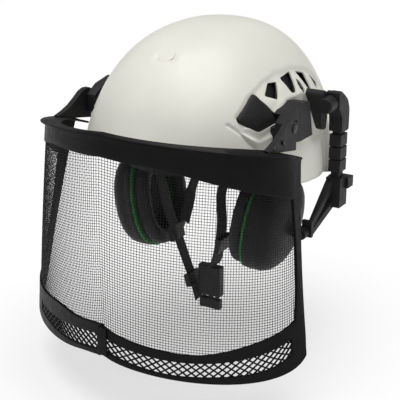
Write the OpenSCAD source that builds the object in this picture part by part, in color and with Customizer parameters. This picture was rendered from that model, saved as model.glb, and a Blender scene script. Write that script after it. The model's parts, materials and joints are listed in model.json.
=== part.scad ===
// Climbing-style work helmet with a swing-up mesh visor and sprung ear muffs.
// Millimetres, +Z up, -Y is the wearer's front, +X the wearer's left.
// The origin is the centre of the headband's opening, where the head is held.

/* [Shell] */
// Width of the shell at its widest
shell_w = 214; // [212:1:216]
// Reach of the shell in front of the headband centre
shell_front = 140; // [136:1:142]
// Reach of the shell behind the headband centre
shell_rear = 132; // [128:1:136]
// Height of the crown above the headband centre
shell_top = 109; // [107:1:112]
// Wall thickness of the shell
shell_wall = 3; // [2.5:0.25:3.5]

/* [Headband] */
// Width of the headband's opening
band_w = 152; // [146:1:154]
// Length of the headband's opening
band_l = 196; // [188:1:200]
// Height of the headband
band_h = 28; // [22:1:32]

/* [Visor] */
// Width of the visor at its brow band
visor_top_w = 239; // [238:1:242]
// How much wider the visor is at its lower edge
visor_flare = 50; // [44:1:54]
// Reach of the visor in front of the headband centre
visor_front = 178; // [176:1:182]
// Height of the brow band's top edge at the front
visor_top_z = 43; // [40:1:45]
// Depth of the lower edge below the headband centre, at the front
visor_low_z = 158; // [150:1:162]
// Height of the visor's hinge above the headband centre
hinge_z = 31; // [30:0.5:32]

/* [Ear muffs] */
// Length of an ear cup, front to back
cup_l = 80; // [74:1:82]
// Height of an ear cup
cup_h = 98; // [90:1:100]
// Distance between the two cups' cushion faces
cup_gap = 86; // [84:1:90]

/* [Chin strap] */
// Width of the webbing
web_w = 15; // [12:1:18]

/* [Hidden] */
$fn = 48;
fit_gap = 0.3;
run_gap = 0.05;

// Shell outline
shell_mid_y = 8;
shell_wide_z = -27;
plan_power = 2.3;
dome_power = 1.89;
side_power = 2.49;
front_rim_z = 8;
side_rim_z = -34;
rear_rim_z = -48;
shell_rings = 13;
shell_steps = 60;

// Side openings as (y, z) corners, front to rear
plug_corners = [[-84, 41], [-57, 60], [-44, 35], [-69, 29]];
vent_front = [[-45, 56], [-34, 64], [-25, 63], [-34, 51]];
vent_middle = [[-14, 65], [4, 68], [-4, 53], [-11, 53]];
vent_rear = [[17, 66], [28, 62], [22, 46], [19, 52]];
vent_last = [[42, 58], [52, 48], [46, 42], [40, 48]];
knob_pos = [8, 51];
knob_r = 2.4;
knob_travel = [-2.9, 0, 5.2];

// Visor surface: u runs across from -1 to 1, w runs down from 0 to 1
visor_rear_y = -72;
visor_power_top = 1.74;
visor_power_low = 1.48;
turn_top = 1.148;
band_drop = 33.3;
band_share = 0.17;
edge_share = 0.87;
upper_rail_w = [0.78, 0.845];
grille_w = [0.845, 0.95];
visor_wall = 3;
mesh_wall = 0.8;
visor_steps = 40;
hinge_y = -48;
hinge_r = 4;
hinge_x = 97;
plug_clear_x = 96;
arm_x = 107;
arm_wall = 4;
bracket_x = 106;
band_hole = [43, 36];
band_hole_r = 2;

// Ear muffs
cup_y = -8;
cup_z = -81;
cushion_t = 16;
ring_t = 3;
cup_t = 30;
cup_lean = 10;
muff_axis = [112, 38];
sleeve_mid = [113.5, 42];
cup_pivot_x = 103;

// ---------- functions ----------

function ease(v) = v * v * (3 - 2 * v);

function rim_z(t) = sin(t) < 0
    ? side_rim_z + (front_rim_z - side_rim_z) * ease(-sin(t))
    : side_rim_z + (rear_rim_z - side_rim_z) * ease(sin(t));

// Share of the full plan size that the dome keeps at height z
function dome_share(z, inset) =
    pow(max(1 - pow(max(z - shell_wide_z, 0) / (shell_top - shell_wide_z - inset), dome_power), 0),
        1 / side_power);

function reach_y(is_rear, inset) =
    (is_rear ? shell_rear - shell_mid_y : shell_front + shell_mid_y) - inset;

// Point of the dome at angle t, a share s of the way from rim to crown
function dome_point(t, s, inset) =
    let (low = rim_z(t))
    let (z = low + (shell_top - inset - low) * sin(90 * s))
    let (k = dome_share(z, inset))
    let (spread = pow(pow(abs(cos(t)), plan_power) + pow(abs(sin(t)), plan_power), -1 / plan_power))
    [(shell_w / 2 - inset) * cos(t) * spread * k,
     shell_mid_y + reach_y(sin(t) > 0, inset) * sin(t) * spread * k,
     z];

// Distance from the middle plane to the shell's side at (y, z)
function side_x(y, z, inset = 0) =
    let (k = dome_share(z, inset))
    let (v = abs(y - shell_mid_y) / (reach_y(y > shell_mid_y, inset) * k))
    (shell_w / 2 - inset) * k * pow(max(1 - pow(v, plan_power), 0), 1 / plan_power);

function mix(a, b, s) = a + (b - a) * s;

// Grid of (y, z) points between two lines of points
function strip_grid(low_line, high_line, steps) =
    [for (i = [0:len(low_line) - 1]) [for (j = [0:steps]) mix(low_line[i], high_line[i], j / steps)]];

function quad_grid(c, steps) =
    [for (i = [0:steps]) [for (j = [0:steps])
        mix(mix(c[0], c[1], i / steps), mix(c[3], c[2], i / steps), j / steps)]];

function centre(points) =
    [for (axis = [0, 1]) [for (p = points) p[axis]] * [for (p = points) 1] / len(points)];

function grown(points, factor) =
    let (mid = centre(points))
    [for (p = points) mid + (p - mid) * factor];

function half_oval(a, b, from, to, steps) =
    [for (i = [0:steps]) let (t = mix(from, to, i / steps)) [a * cos(t), b * sin(t)]];

// Curved strip of an oval ring as a closed outline
function oval_strip(a, b, wall, from, to, steps) =
    concat(half_oval(a, b, from, to, steps), half_oval(a + wall, b + wall, to, from, steps));

// Visor surface: rounded at the brow, creased along the middle lower down
function visor_half(w) = (visor_top_w + visor_flare * (0.9 * w + 0.1 * w * w)) / 2;

function visor_lean(w) = 24.2 * w - 13.1 * w * w;

function visor_plan(u, w) =
    let (turn = abs(u) * mix(turn_top, 1, w))
    let (phi = 90 * min(turn, 1))
    let (straight = 100 * max(turn - 1, 0))
    let (power = 2 / mix(visor_power_top, visor_power_low, w))
    let (depth = visor_front + visor_rear_y - 7.8 * w)
    [(u < 0 ? -1 : 1) * visor_half(w) * pow(sin(phi), power),
     visor_rear_y - depth * pow(cos(phi), power) - visor_lean(w) + straight];

function visor_top(u) = visor_top_z - band_drop * pow(abs(u), 1.31);

function visor_low(u) =
    let (a = abs(u))
    -visor_low_z - 44.6 * a - 7.6 * a * a + 39.3 * pow(a, 3) + 11.4 * pow(a, 4);

function visor_normal(u, w) =
    let (d = visor_plan(min(u + 0.03, 1), w) - visor_plan(max(u - 0.03, -1), w))
    [d[1], -d[0]] / norm(d);

// Point of the visor, moved out by the given offset
function visor_point(u, w, out) =
    let (p = visor_plan(u, w) + out * visor_normal(u, w))
    [p[0], p[1], mix(visor_top(u), visor_low(u), w)];

// ---------- building blocks ----------

// Closed solid between two equal grids of points
module sheet(outer, inner) {
    rows = len(outer) - 1;
    cols = len(outer[0]) - 1;
    side = (rows + 1) * (cols + 1);
    function at(i, j, s) = s * side + i * (cols + 1) + j;
    across = cross(outer[1][0] - outer[0][0], outer[0][1] - outer[0][0]);
    flip = across * (outer[0][0] - inner[0][0]) > 0;
    function wound(f) = flip ? [f[2], f[1], f[0]] : f;
    function square_at(a, b, c, d) = [[a, b, c], [a, c, d]];
    faces = concat(
        [for (i = [0:rows - 1], j = [0:cols - 1])
            each square_at(at(i, j, 0), at(i + 1, j, 0), at(i + 1, j + 1, 0), at(i, j + 1, 0))],
        [for (i = [0:rows - 1], j = [0:cols - 1])
            each square_at(at(i, j, 1), at(i, j + 1, 1), at(i + 1, j + 1, 1), at(i + 1, j, 1))],
        [for (i = [0:rows - 1])
            each square_at(at(i, 0, 0), at(i, 0, 1), at(i + 1, 0, 1), at(i + 1, 0, 0))],
        [for (i = [0:rows - 1])
            each square_at(at(i, cols, 0), at(i + 1, cols, 0), at(i + 1, cols, 1), at(i, cols, 1))],
        [for (j = [0:cols - 1])
            each square_at(at(0, j, 0), at(0, j + 1, 0), at(0, j + 1, 1), at(0, j, 1))],
        [for (j = [0:cols - 1])
            each square_at(at(rows, j, 0), at(rows, j, 1), at(rows, j + 1, 1), at(rows, j + 1, 0))]);
    polyhedron([each each outer, each each inner], [for (f = faces) wound(f)]);
}

// Prism whose outline lies in the (y, z) plane
module side_prism(points, from_x, to_x)
    translate([from_x, 0, 0])
        rotate([90, 0, 90])
            linear_extrude(to_x - from_x)
                polygon(points);

// Solid standing on the shell's side, out to a flat or following face
module side_block(grid, low, high)
    sheet([for (row = grid) [for (p = row) [high(p), p[0], p[1]]]],
          [for (row = grid) [for (p = row) [low(p), p[0], p[1]]]]);

// Bar with a round section along Y, centred on (x, z)
module rod_y(x, z, r, from_y, to_y)
    translate([x, to_y, z])
        rotate([90, 0, 0])
            cylinder(r = r, h = to_y - from_y);

module rod_x(y, z, r, from_x, to_x)
    translate([from_x, y, z])
        rotate([0, 90, 0])
            cylinder(r = r, h = to_x - from_x);

// Flat webbing along a path, with its width along the given direction
module ribbon(path, across, width, wall) {
    last = len(path) - 1;
    function along(i) = path[min(i + 1, last)] - path[max(i - 1, 0)];
    function face_dir(i) = let (n = cross(along(i), across)) n / norm(n);
    function edge_dir(i) = let (e = cross(face_dir(i), along(i))) e / norm(e);
    function row(i, offset) = [for (s = [-0.5, 0.5])
        path[i] + s * width * edge_dir(i) + offset * face_dir(i)];
    sheet([for (i = [0:last]) row(i, wall / 2)], [for (i = [0:last]) row(i, -wall / 2)]);
}

// Patch of the visor surface between two offsets
module visor_patch(from_u, to_u, from_w, to_w, from_out, to_out, steps_u, steps_w) {
    function row(i, out) = [for (j = [0:steps_w])
        visor_point(mix(from_u, to_u, i / steps_u), mix(from_w, to_w, j / steps_w), out)];
    sheet([for (i = [0:steps_u]) row(i, to_out)], [for (i = [0:steps_u]) row(i, from_out)]);
}

// ---------- helmet body ----------

module dome() {
    top = shell_rings * shell_steps;
    outer = [for (i = [0:shell_rings - 1], t = [0:shell_steps - 1])
        dome_point(360 * t / shell_steps, i / shell_rings, 0)];
    inner = [for (i = [0:shell_rings - 1], t = [0:shell_steps - 1])
        dome_point(360 * t / shell_steps, i / shell_rings, shell_wall)];
    function ring(i, t) = i * shell_steps + t % shell_steps;
    faces = concat(
        [for (i = [0:shell_rings - 2], t = [0:shell_steps - 1])
            each [[ring(i, t), ring(i + 1, t), ring(i + 1, t + 1)],
                  [ring(i, t), ring(i + 1, t + 1), ring(i, t + 1)]]],
        [for (t = [0:shell_steps - 1])
            [ring(shell_rings - 1, t), 2 * top, ring(shell_rings - 1, t + 1)]],
        [for (i = [0:shell_rings - 2], t = [0:shell_steps - 1])
            each [[top + ring(i, t), top + ring(i + 1, t + 1), top + ring(i + 1, t)],
                  [top + ring(i, t), top + ring(i, t + 1), top + ring(i + 1, t + 1)]]],
        [for (t = [0:shell_steps - 1])
            [top + ring(shell_rings - 1, t), top + ring(shell_rings - 1, t + 1), 2 * top + 1]],
        [for (t = [0:shell_steps - 1])
            each [[ring(0, t), ring(0, t + 1), top + ring(0, t + 1)],
                  [ring(0, t), top + ring(0, t + 1), top + ring(0, t)]]]);
    polyhedron(concat(outer, inner, [[0, shell_mid_y, shell_top], [0, shell_mid_y, shell_top - shell_wall]]),
               faces);
}

// Places its children on the front middle line, facing straight out of the shell
socket_y = -78;
socket_z = 88.5;
socket_tilt = 38;
socket_r = 8;
module at_crown_socket()
    translate([0, socket_y, socket_z])
        rotate([socket_tilt, 0, 0])
            children();

module knob_slot() {
    low = knob_pos;
    high = knob_pos + [0, knob_travel[2]];
    r = knob_r + fit_gap;
    outline = [
        for (t = [180:20:360]) low + r * [cos(t), sin(t)],
        for (t = [0:20:180]) high + r * [cos(t), sin(t)]];
    side_prism(outline, 60, 110);
}

module side_cuts() {
    side_prism(plug_corners, 55, 110);
    for (vent = [vent_front, vent_middle, vent_rear, vent_last])
        side_prism(vent, 60, 110);
    knob_slot();
}

module outer_shell() {
    color("ivory")
        difference() {
            dome();
            side_cuts();
            mirror([1, 0, 0]) side_cuts();
            at_crown_socket() cylinder(r = socket_r + run_gap, h = 24, center = true);
        }
}

module crown_socket_cover() {
    color("gainsboro")
        at_crown_socket()
            translate([0, 0, -3.6])
                cylinder(r = socket_r, h = 4.4);
}

module side_plug_left() {
    color("dimgray")
        side_block(quad_grid(grown(plug_corners, 0.98), 5),
                   function(p) side_x(p[0], p[1]) - 3.5,
                   function(p) side_x(p[0], p[1]) + 1);
}

module side_plug_right() mirror([1, 0, 0]) side_plug_left();

shutter_low_z = 45;
shutter_bow = 4;
shutter_h = 25;
shutter_wall = 1.4;
shutter_inset = shell_wall + 2.4;
module vent_shutter_left() {
    low_line = [for (y = [-50:7:55]) [y, shutter_low_z - shutter_bow * pow(y / 50, 2)]];
    high_line = [for (p = low_line) p + [0, shutter_h]];
    color("dimgray")
        side_block(strip_grid(low_line, high_line, 3),
                   function(p) side_x(p[0], p[1], shutter_inset) - shutter_wall,
                   function(p) side_x(p[0], p[1], shutter_inset));
}

module vent_shutter_right() mirror([1, 0, 0]) vent_shutter_left();

module vent_knob_left() {
    color("black")
        rod_x(knob_pos[0], knob_pos[1], knob_r,
              side_x(knob_pos[0], knob_pos[1], shutter_inset) + 1.2,
              side_x(knob_pos[0], knob_pos[1]) + 1.2);
}

module vent_knob_right() mirror([1, 0, 0]) vent_knob_left();

// ---------- suspension ----------

anchors = [[-90, 126], [-40, 106], [40, 106], [90, 119.5], [140, 106], [220, 106]];
anchor_low_z = 8;
anchor_h = 15;
web_r = 102;
web_low_z = 22;
web_top_z = 76;
web_wall = 1.5;
crown_web_w = 18;

// One strap over the crown, in a vertical plane at angle t
module crown_strap(t, lift) {
    rise = web_top_z + lift - web_low_z;
    outline = [
        for (a = [0:7.5:180]) [web_r * cos(a), rise * sin(a)],
        for (a = [180:-7.5:0]) [(web_r - web_wall) * cos(a), (rise - web_wall) * sin(a)]];
    rotate([0, 0, t])
        translate([0, crown_web_w / 2, web_low_z])
            rotate([90, 0, 0])
                linear_extrude(crown_web_w)
                    polygon(outline);
}

module crown_webbing() {
    color("darkslategray")
        for (k = [0:2])
            crown_strap([90, 40, -40][k], 1.8 * k);
}

module suspension_anchors() {
    color("dimgray")
        for (anchor = anchors)
            rotate([0, 0, anchor[0]])
                translate([web_r + fit_gap, -crown_web_w / 2, anchor_low_z])
                    cube([anchor[1] - web_r, crown_web_w, anchor_h]);
}

module crown_pad() {
    color("black")
        translate([0, 0, web_top_z - 10])
            cylinder(r = 26, h = 5);
}

module headband() {
    color("dimgray")
        translate([0, 0, -band_h / 2])
            linear_extrude(band_h)
                polygon(oval_strip(band_w / 2, band_l / 2, 2, -202, 22, 46));
}

module brow_pad() {
    color("black")
        translate([0, 0, -band_h / 2 + 2])
            linear_extrude(band_h - 4)
                polygon(oval_strip(band_w / 2 - 5.3, band_l / 2 - 5.3, 5, -160, -20, 28));
}

cradle_grow = 6;
cradle_low_z = -32;
cradle_high_z = 2;
wheel_pos = [58, -20];
wheel_r = 13;
wheel_x = 77;
hub_r = 9;
hub_x = 67;
module nape_cradle() {
    color("dimgray")
        union() {
            translate([0, 0, cradle_low_z])
                linear_extrude(cradle_high_z - cradle_low_z)
                    polygon(oval_strip(band_w / 2 + cradle_grow, band_l / 2 + cradle_grow, 2, 14, 166, 30));
            rod_x(wheel_pos[0], wheel_pos[1], hub_r, hub_x, wheel_x - fit_gap);
            mirror([1, 0, 0]) rod_x(wheel_pos[0], wheel_pos[1], hub_r, hub_x, wheel_x - fit_gap);
        }
}

module size_wheel_left() {
    color("black")
        difference() {
            union() {
                rod_x(wheel_pos[0], wheel_pos[1], wheel_r, wheel_x, wheel_x + 7);
                rod_x(wheel_pos[0], wheel_pos[1], 5, wheel_x + 7, wheel_x + 9);
            }
            for (a = [0:30:330])
                rod_x(wheel_pos[0] + wheel_r * cos(a), wheel_pos[1] + wheel_r * sin(a), 1.4,
                      wheel_x - 1, wheel_x + 8);
        }
}

module size_wheel_right() mirror([1, 0, 0]) size_wheel_left();

// ---------- visor ----------

module hinge_bracket_left() {
    low_line = [[-56, 19], [-46, 17], [-26, 13], [0, 13]];
    high_line = [[-56, 36], [-42, 44], [-22, 48], [-8, 46]];
    color("dimgray")
        difference() {
            side_block(strip_grid(low_line, high_line, 3),
                       function(p) side_x(p[0], p[1]) + fit_gap,
                       function(p) bracket_x);
            side_prism(grown(plug_corners, 1.06), 55, plug_clear_x);
            rod_x(hinge_y, hinge_z, hinge_r, hinge_x, bracket_x + 1);
        }
}

module hinge_bracket_right() mirror([1, 0, 0]) hinge_bracket_left();

module hinge_pins() {
    color("silver")
        for (side = [0, 1])
            mirror([side, 0, 0]) {
                rod_x(hinge_y, hinge_z, hinge_r, hinge_x, arm_x + arm_wall + fit_gap);
                rod_x(hinge_y, hinge_z, 6.5, arm_x + arm_wall + fit_gap, arm_x + arm_wall + 1.8);
            }
}

// Arm plate: round at the hinge, flaring down to the brow band
module visor_arm_left() {
    eye_r = 10;
    mid_x = arm_x + arm_wall / 2;
    seat = [for (a = [1:-0.05:0.7])
        let (p = visor_plan(a, 0))
        let (out = visor_normal(a, 0))
        [p[1] + min(mid_x - p[0], 0) / out[0] * out[1], visor_top(a) + 2 * fit_gap]];
    front_curve = [for (a = [0:10:60]) [-110 + 58 * sin(a), 26 + 22 * (1 - cos(a))]];
    outline = concat(
        seat, front_curve,
        [for (a = [150:-20:10]) [hinge_y + eye_r * cos(a), hinge_z + eye_r * sin(a)]],
        [[-39, 20], [-44, visor_top(1) + 0.2]]);
    color("dimgray")
        difference() {
            side_prism(outline, arm_x, arm_x + arm_wall);
            rod_x(hinge_y, hinge_z, hinge_r + run_gap, arm_x - 1, arm_x + arm_wall + 1);
        }
}

module visor_arm_right() mirror([1, 0, 0]) visor_arm_left();

// Band wall with a ledge that widens towards the arms
ledge_wall = 2.5;
module brow_band() {
    function station(u) =
        let (out = visor_normal(u, 0))
        let (p = visor_plan(u, 0))
        let (top = visor_top(u))
        let (low = mix(top, visor_low(u), band_share))
        let (ledge = 3.5 + 4 * u * u + 9 * sin(180 * u * u))
        [for (q = [[visor_wall, 0], [visor_wall, low - top], [0, low - top],
                   [0, -ledge_wall], [-ledge, -ledge_wall], [-ledge, 0]])
            [p[0] + q[0] * out[0], p[1] + q[0] * out[1], top + q[1]]];
    rings = [for (i = [0:visor_steps]) station(2 * i / visor_steps - 1)];
    points = [each each rings];
    faces = concat(
        [[5, 4, 3, 2, 1, 0]],
        [for (i = [0:visor_steps - 1], j = [0:5])
            each [[6 * i + j, 6 * i + (j + 1) % 6, 6 * i + 6 + (j + 1) % 6],
                  [6 * i + j, 6 * i + 6 + (j + 1) % 6, 6 * i + 6 + j]]],
        [[for (j = [0:5]) 6 * visor_steps + j]]);
    color("dimgray")
        difference() {
            polyhedron(points, faces);
            for (x = [-band_hole[0], band_hole[0]])
                rod_y(x, band_hole[1], band_hole_r, -visor_front - 10, -visor_front + 40);
        }
}

rivet_y = [-88, -70];
rivet_z = 24;
rivet_r = 2;
module band_rivets() {
    color("black")
        for (side = [0, 1])
            mirror([side, 0, 0])
                for (y = rivet_y)
                    rod_x(y, rivet_z, rivet_r, arm_x + arm_wall, arm_x + arm_wall + 1.5);
}

module mesh_screen() {
    color("black")
        visor_patch(-edge_share, edge_share, band_share, upper_rail_w[0], 1, 1 + mesh_wall, 32, 4);
}

module side_frame_left() {
    color("dimgray")
        visor_patch(edge_share, 1, band_share, 1, 0, visor_wall, 3, 12);
}

module side_frame_right() {
    color("dimgray")
        visor_patch(-1, -edge_share, band_share, 1, 0, visor_wall, 3, 12);
}

module upper_rail() {
    color("dimgray")
        visor_patch(-edge_share, edge_share, upper_rail_w[0], upper_rail_w[1], 0, visor_wall, 32, 1);
}

module grille_strip() {
    color("dimgray")
        visor_patch(-edge_share, edge_share, grille_w[0], grille_w[1], 0.5, visor_wall - 0.5, 32, 1);
}

module lower_rail() {
    color("dimgray")
        visor_patch(-edge_share, edge_share, grille_w[1], 1, 0, visor_wall, 32, 1);
}

module pull_tab() {
    color("dimgray")
        visor_patch(-0.045, 0.045, 0.85, 0.985, visor_wall + 0.2, visor_wall + 2.2, 4, 3);
}

// ---------- ear muffs ----------

module muff_mount_left() {
    low_line = [[8, 14], [25, 12]];
    high_line = [[8, 46], [25, 44]];
    color("dimgray") {
        union() {
            side_block(strip_grid(low_line, high_line, 4),
                       function(p) side_x(p[0], p[1]) + fit_gap,
                       function(p) 108);
            rod_y(muff_axis[0], muff_axis[1], 8, 8, 25);
            rod_y(muff_axis[0], muff_axis[1], 4, 20, 33);
        }
    }
}

module muff_mount_right() mirror([1, 0, 0]) muff_mount_left();

module box_from(low, high)
    translate(low)
        cube(high - low);

bar_w = 8;
bar_d = 11;
bar_gap = 0.15;
module muff_sleeve_left() {
    sx = sleeve_mid[0];
    sy = sleeve_mid[1];
    color("dimgray")
        difference() {
            union() {
                box_from([sx - 6.5, sy - 8, 8], [sx + 6.5, sy + 8, 38]);
                rod_y(sx, 38, 6.5, sy - 8, sy + 8);
                rod_y(muff_axis[0], muff_axis[1], 8, 25.5, sy - 4);
            }
            box_from([sx - bar_w / 2 - bar_gap, sy - bar_d / 2 - bar_gap, 0],
                     [sx + bar_w / 2 + bar_gap, sy + bar_d / 2 + bar_gap, 36]);
            rod_y(muff_axis[0], muff_axis[1], 4 + run_gap, 24, 33.5);
        }
}

module muff_sleeve_right() mirror([1, 0, 0]) muff_sleeve_left();

bar_low_z = -54;
module muff_slide_bar_left() {
    sx = sleeve_mid[0];
    sy = sleeve_mid[1];
    color("dimgray") {
        box_from([sx - bar_w / 2, sy - bar_d / 2, bar_low_z], [sx + bar_w / 2, sy + bar_d / 2, 35]);
        for (k = [0:2])
            box_from([sx - 6, sy - 7.5, -6 - 12.6 * k], [sx + 6, sy + 7.5, 5.6 - 12.6 * k]);
    }
}

module muff_slide_bar_right() mirror([1, 0, 0]) muff_slide_bar_left();

lever_pos = [54, -43];
lug_z = [-49, -38.9];
module muff_lever_left() {
    sx = sleeve_mid[0];
    color("dimgray")
        difference() {
            union() {
                rod_x(lever_pos[0], lever_pos[1], 3, sx - 7, sx + 7);
                box_from([sx - 7, lever_pos[0], lever_pos[1] - 1], [sx + 7, lever_pos[0] + 11, lever_pos[1] + 2]);
            }
            rod_x(lever_pos[0], lever_pos[1], 1.5 + run_gap, sx - 8, sx + 8);
        }
}

module muff_lever_right() mirror([1, 0, 0]) muff_lever_left();

// Two struts from the slide bar's foot to a fork on the cup
module muff_yoke_left() {
    sx = sleeve_mid[0];
    sy = sleeve_mid[1];
    foot_low = bar_low_z - 12;
    color("dimgray") {
        difference() {
            box_from([sx - 7.4, sy - 8, foot_low], [sx + 7.4, sy + 8.5, -37]);
            box_from([sx - bar_w / 2, sy - bar_d / 2, bar_low_z], [sx + bar_w / 2, sy + bar_d / 2, -30]);
        }
        for (x = [sx - 10.4, sx + 7.4])
            difference() {
                box_from([x, sy + 4, lug_z[0]], [x + 3, lever_pos[0] + 4, lug_z[1]]);
                rod_x(lever_pos[0], lever_pos[1], 1.5, x - 1, x + 4);
            }
        for (z = [-44, -64])
            hull() {
                translate([sx - 4, sy - 6.8, z]) cube([8, 2, 6], center = true);
                translate([cup_pivot_x + 5, cup_y + 8, cup_z + 4 + (z + 54) / 2.5]) cube([4, 2, 6], center = true);
            }
        difference() {
            box_from([cup_pivot_x - 3, cup_y + 5, cup_z - 5], [cup_pivot_x + 7, cup_y + 9, cup_z + 11]);
            rod_y(cup_pivot_x, cup_z, 3, cup_y, cup_y + 12);
        }
        rod_y(cup_pivot_x, cup_z, 3, cup_y - 8, cup_y + 9);
        rod_x(lever_pos[0], lever_pos[1], 1.5, sx - 10.4, sx + 10.4);
    }
}

module muff_yoke_right() mirror([1, 0, 0]) muff_yoke_left();

// Rounded oval slab across X, given as rings of (x, share of full size)
module oval_loft(sections, length, height) {
    steps = 32;
    function corner(t) = pow(pow(abs(cos(t)), 2.4) + pow(abs(sin(t)), 2.4), -1 / 2.4);
    function ring(s) = [for (k = [0:steps - 1])
        let (t = 360 * k / steps)
        [s[0], cup_y + s[1] * length / 2 * cos(t) * corner(t), cup_z + s[1] * height / 2 * sin(t) * corner(t)]];
    last = len(sections) - 1;
    faces = concat(
        [[for (k = [0:steps - 1]) k]],
        [for (i = [0:last - 1], k = [0:steps - 1])
            each [[i * steps + k, (i + 1) * steps + k, (i + 1) * steps + (k + 1) % steps],
                  [i * steps + k, (i + 1) * steps + (k + 1) % steps, i * steps + (k + 1) % steps]]],
        [[for (k = [0:steps - 1]) last * steps + steps - 1 - k]]);
    polyhedron([each each [for (s = sections) ring(s)]], faces);
}

// Leans its children's lower end inwards about the cup's pivot
module leaning()
    translate([cup_pivot_x, 0, cup_z])
        rotate([0, cup_lean, 0])
            translate([-cup_pivot_x, 0, -cup_z])
                children();

face_x = cup_gap / 2;
ring_x = face_x + cushion_t;
cup_x = ring_x + ring_t;
module ear_cup_left() {
    color("black") leaning()
        difference() {
            union() {
                difference() {
                    oval_loft([[cup_x, 1], [cup_x + 10, 0.985], [cup_x + 20, 0.92], [cup_x + 26, 0.78],
                               [cup_x + cup_t, 0.48]], cup_l, cup_h);
                    oval_loft([[cup_x - 1, 0.93], [cup_x + 10, 0.915], [cup_x + 19, 0.84],
                               [cup_x + cup_t - 3, 0.42]], cup_l, cup_h);
                }
                rod_y(cup_pivot_x, cup_z, 5.4, cup_y - 4.5, cup_y + 4.5);
                box_from([cup_x + cup_t - 2, cup_y - 4.5, cup_z - 5], [cup_pivot_x, cup_y + 4.5, cup_z + 5]);
            }
            rod_y(cup_pivot_x, cup_z, 3 + run_gap, cup_y - 6, cup_y + 6);
        }
}

module ear_cup_right() mirror([1, 0, 0]) ear_cup_left();

module cup_ring_left() {
    color("darkgreen") leaning()
        difference() {
            oval_loft([[ring_x, 0.99], [cup_x, 0.99]], cup_l, cup_h);
            oval_loft([[ring_x - 1, 0.74], [cup_x + 1, 0.74]], cup_l, cup_h);
        }
}

module cup_ring_right() mirror([1, 0, 0]) cup_ring_left();

module ear_cushion_left() {
    color("black") leaning()
        difference() {
            oval_loft([[face_x, 0.86], [face_x + 3, 0.97], [face_x + 8, 1], [ring_x - 3, 0.98],
                       [ring_x, 0.92]], cup_l, cup_h);
            oval_loft([[face_x - 1, 0.64], [face_x + 8, 0.58], [ring_x + 1, 0.62]], cup_l, cup_h);
        }
}

module ear_cushion_right() mirror([1, 0, 0]) ear_cushion_left();

module cup_foam_left() {
    color("slategray") leaning()
        oval_loft([[cup_x + 6, 0.88], [cup_x + 16, 0.78]], cup_l, cup_h);
}

module cup_foam_right() mirror([1, 0, 0]) cup_foam_left();

// ---------- chin strap ----------

web_t = 1.6;
buckle_pos = [5, -9, -150];
front_path_left = [[68, -41, -17], [46, -41, -24], [33.5, -38, -43], [29, -30, -75], [23, -22, -100],
                   [15, -14, -122], [9, -10, -133]];
front_path_right = [[-68, -41, -17], [-46, -41, -24], [-34, -38, -43], [-31, -30, -75],
                    [-27, -22, -100], [-19.5, -14, -135], [-11, -11, -162], [-8.4, -10.5, -172]];
rear_path_left = [[68, 45, -40], [54, 42, -42], [38, 34, -52], [33, 15, -72], [27, -8, -93]];

module front_strap_left() {
    color("black") ribbon(front_path_left, [0, 1, -0.4], web_w, web_t);
}

module front_strap_right() {
    color("black") ribbon(front_path_right, [0, 1, -0.4], web_w, web_t);
}

module rear_strap_left() {
    color("black") ribbon(rear_path_left, [0.1, 1, 0.5], web_w, web_t);
}

module rear_strap_right() mirror([1, 0, 0]) rear_strap_left();

module strap_dividers() {
    color("black") {
        translate([24.5, -20, -103]) rotate([0, 12, 0]) cube([5, 22, 16], center = true);
        translate([-28.5, -20, -101]) rotate([0, -12, 0]) cube([5, 22, 16], center = true);
    }
}

module chin_adjuster() {
    color("black")
        translate([-14.6, -12.2, -151])
            rotate([0, -17, 0])
                difference() {
                    cube([6, 21, 13], center = true);
                    cube([2.4, 16, 20], center = true);
                }
}

tongue_travel = 22;
module buckle_socket() {
    color("black")
        translate(buckle_pos)
            difference() {
                cube([25, 9, 32], center = true);
                translate([0, 0, -8]) cube([18.6, 3.8, 40], center = true);
            }
}

module buckle_tongue() {
    color("black")
        translate(buckle_pos) {
            translate([0, 0, -10]) cube([4, 3.2, 26], center = true);
            for (x = [-7.5, 7.5])
                translate([x, 0, -8]) cube([3, 3.2, 26], center = true);
            difference() {
                translate([0, 0, -25]) cube([23, 6, 10], center = true);
                translate([0, 0, -26.5]) cube([16, 2.4, 20], center = true);
            }
        }
}

outer_shell();
crown_socket_cover();
side_plug_left();
side_plug_right();
vent_shutter_left();
vent_shutter_right();
vent_knob_left();
vent_knob_right();
suspension_anchors();
crown_webbing();
crown_pad();
headband();
brow_pad();
nape_cradle();
size_wheel_left();
size_wheel_right();
hinge_bracket_left();
hinge_bracket_right();
hinge_pins();
visor_arm_left();
visor_arm_right();
brow_band();
band_rivets();
mesh_screen();
side_frame_left();
side_frame_right();
upper_rail();
grille_strip();
lower_rail();
pull_tab();
muff_mount_left();
muff_mount_right();
muff_sleeve_left();
muff_sleeve_right();
muff_slide_bar_left();
muff_slide_bar_right();
muff_lever_left();
muff_lever_right();
muff_yoke_left();
muff_yoke_right();
ear_cup_left();
ear_cup_right();
cup_ring_left();
cup_ring_right();
ear_cushion_left();
ear_cushion_right();
cup_foam_left();
cup_foam_right();
front_strap_left();
front_strap_right();
rear_strap_left();
rear_strap_right();
strap_dividers();
chin_adjuster();
buckle_socket();
buckle_tongue();
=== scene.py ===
import json
import math

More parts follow.
